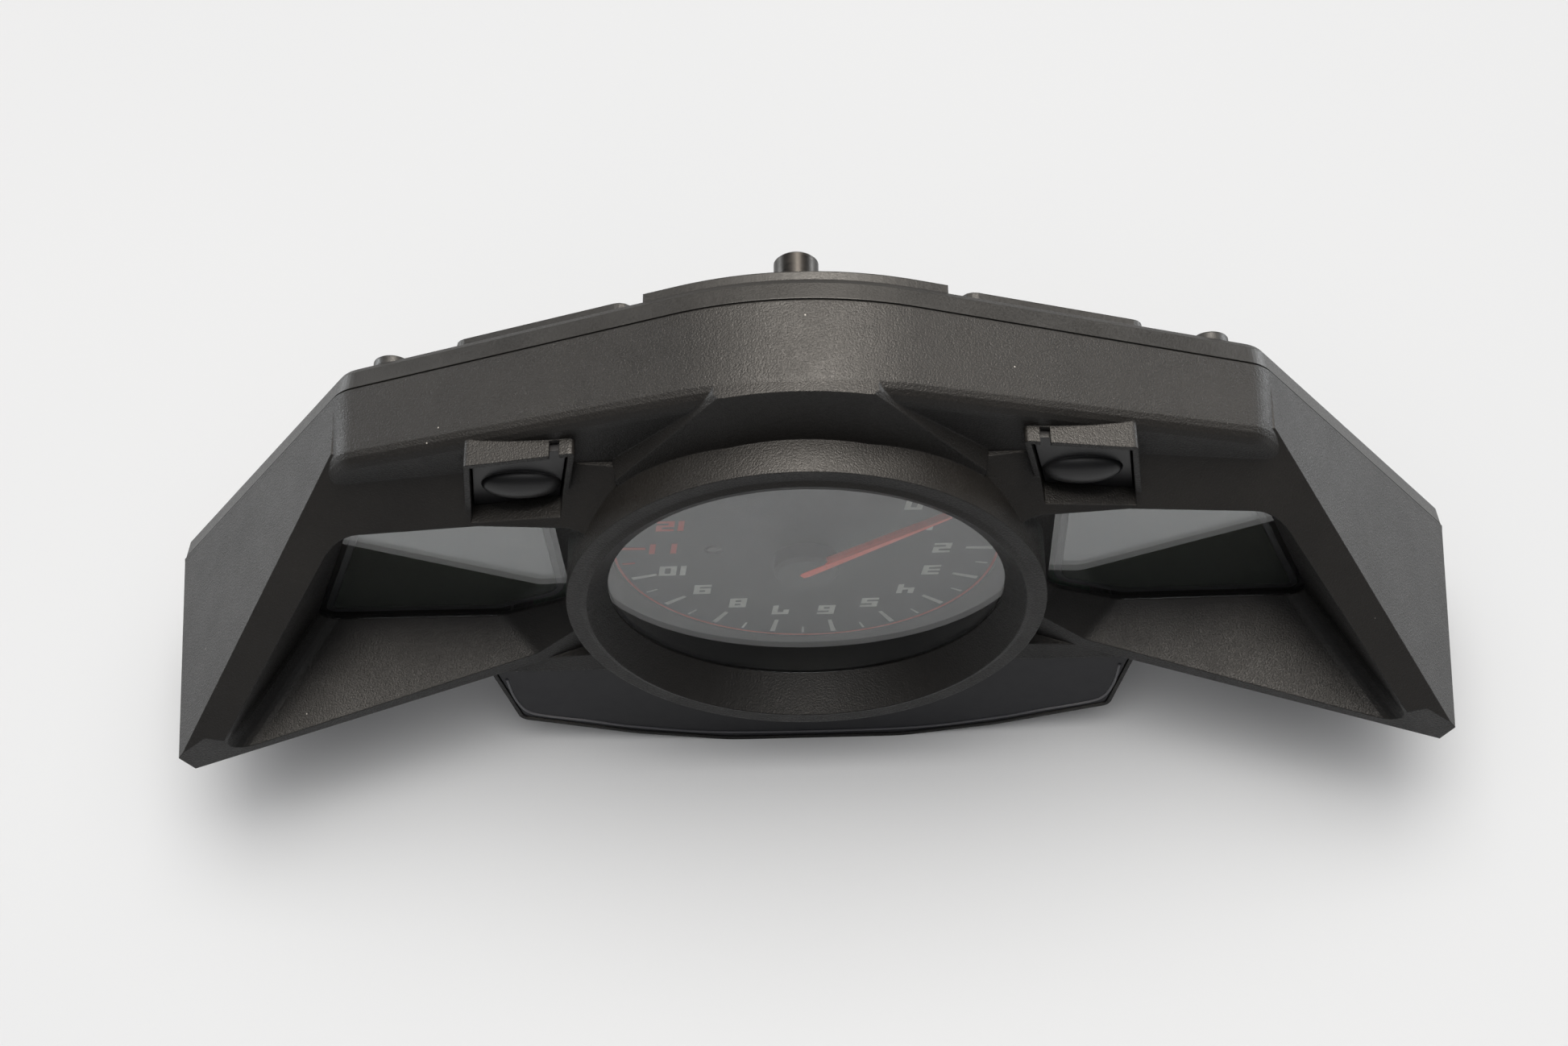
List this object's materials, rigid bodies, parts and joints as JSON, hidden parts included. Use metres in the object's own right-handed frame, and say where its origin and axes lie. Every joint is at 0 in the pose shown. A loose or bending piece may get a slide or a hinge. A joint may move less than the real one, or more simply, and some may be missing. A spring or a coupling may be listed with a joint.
{
  "type": "motorcycle instrument cluster",
  "caption": "Motorcycle instrument cluster: round tachometer in a raised bezel between two hooded display wings, with mode buttons, indicator panel and rear mounting studs.",
  "frame": {"origin": "centre of the overall box in X and Y, at the level of the flat top edge the cluster stands on", "axes": "as in the picture, the cluster stands upside down on its top edge: +X towards the rider's left, +Y out of the back along the studs, so the dial faces -Y, and +Z from the dial's twelve o'clock towards its six o'clock"},
  "size_m": [0.3148, 0.0771, 0.1513],
  "materials": {
    "case_plastic": "fine spark-eroded grain",
    "cover_plastic": "smooth satin",
    "button_plastic": "smooth satin",
    "black_plastic": "matt black",
    "white_plastic": "matt white",
    "clear_lens": "clear polished moulding",
    "smoked_lens": "smoked translucent satin",
    "display_glass": "grey-green reflective display",
    "lamp_lens": "translucent lamp",
    "pointer_red": "painted red",
    "circuit_board": "green solder mask",
    "rubber": "moulded",
    "brass": "plated",
    "stud_metal": "dark coated",
    "steel": "zinc plated"
  },
  "bodies": {
    "case": {"front_case": "case_plastic", "rear_cover": "cover_plastic", "case_seal": "rubber", "tach_lens": "clear_lens", "left_window": "clear_lens", "right_window": "clear_lens", "indicator_lens": "smoked_lens", "dial_surround": "black_plastic", "dial_plate": "black_plastic", "dial_light_guide": "clear_lens", "dial_lamp": "lamp_lens", "motor_case": "black_plastic", "main_board": "circuit_board", "left_display": "display_glass", "right_display": "display_glass", "left_display_frame": "steel", "right_display_frame": "steel", "left_backlight": "white_plastic", "right_backlight": "white_plastic", "indicator_box": "white_plastic", "indicator_lamps": "lamp_lens", "button_seals": "rubber", "button_switches": "black_plastic", "connector_shell": "black_plastic", "connector_pins": "brass", "rear_studs": "stud_metal", "stud_nuts": "steel", "case_screws": "steel", "board_screws": "steel", "vent_cap": "rubber", "board_chips": "black_plastic"},
    "tacho_pointer": {"pointer": "pointer_red", "pointer_cap": "black_plastic", "pointer_shaft": "steel"},
    "left_button": {"left_button": "button_plastic"},
    "right_button": {"right_button": "button_plastic"}
  },
  "joints": [
    {"name": "pointer_turn", "type": "hinge", "parent": "case", "child": "tacho_pointer", "pos_m": [0, 0, 0.08], "axis": [0, 1, 0], "range_deg": [0, 241]},
    {"name": "left_button_press", "type": "slide", "parent": "case", "child": "left_button", "axis": [0, 1, 0], "range_m": [0, 0.0012], "stiffness_N_per_m": 800},
    {"name": "right_button_press", "type": "slide", "parent": "case", "child": "right_button", "axis": [0, 1, 0], "range_m": [0, 0.0012], "stiffness_N_per_m": 800}
  ]
}
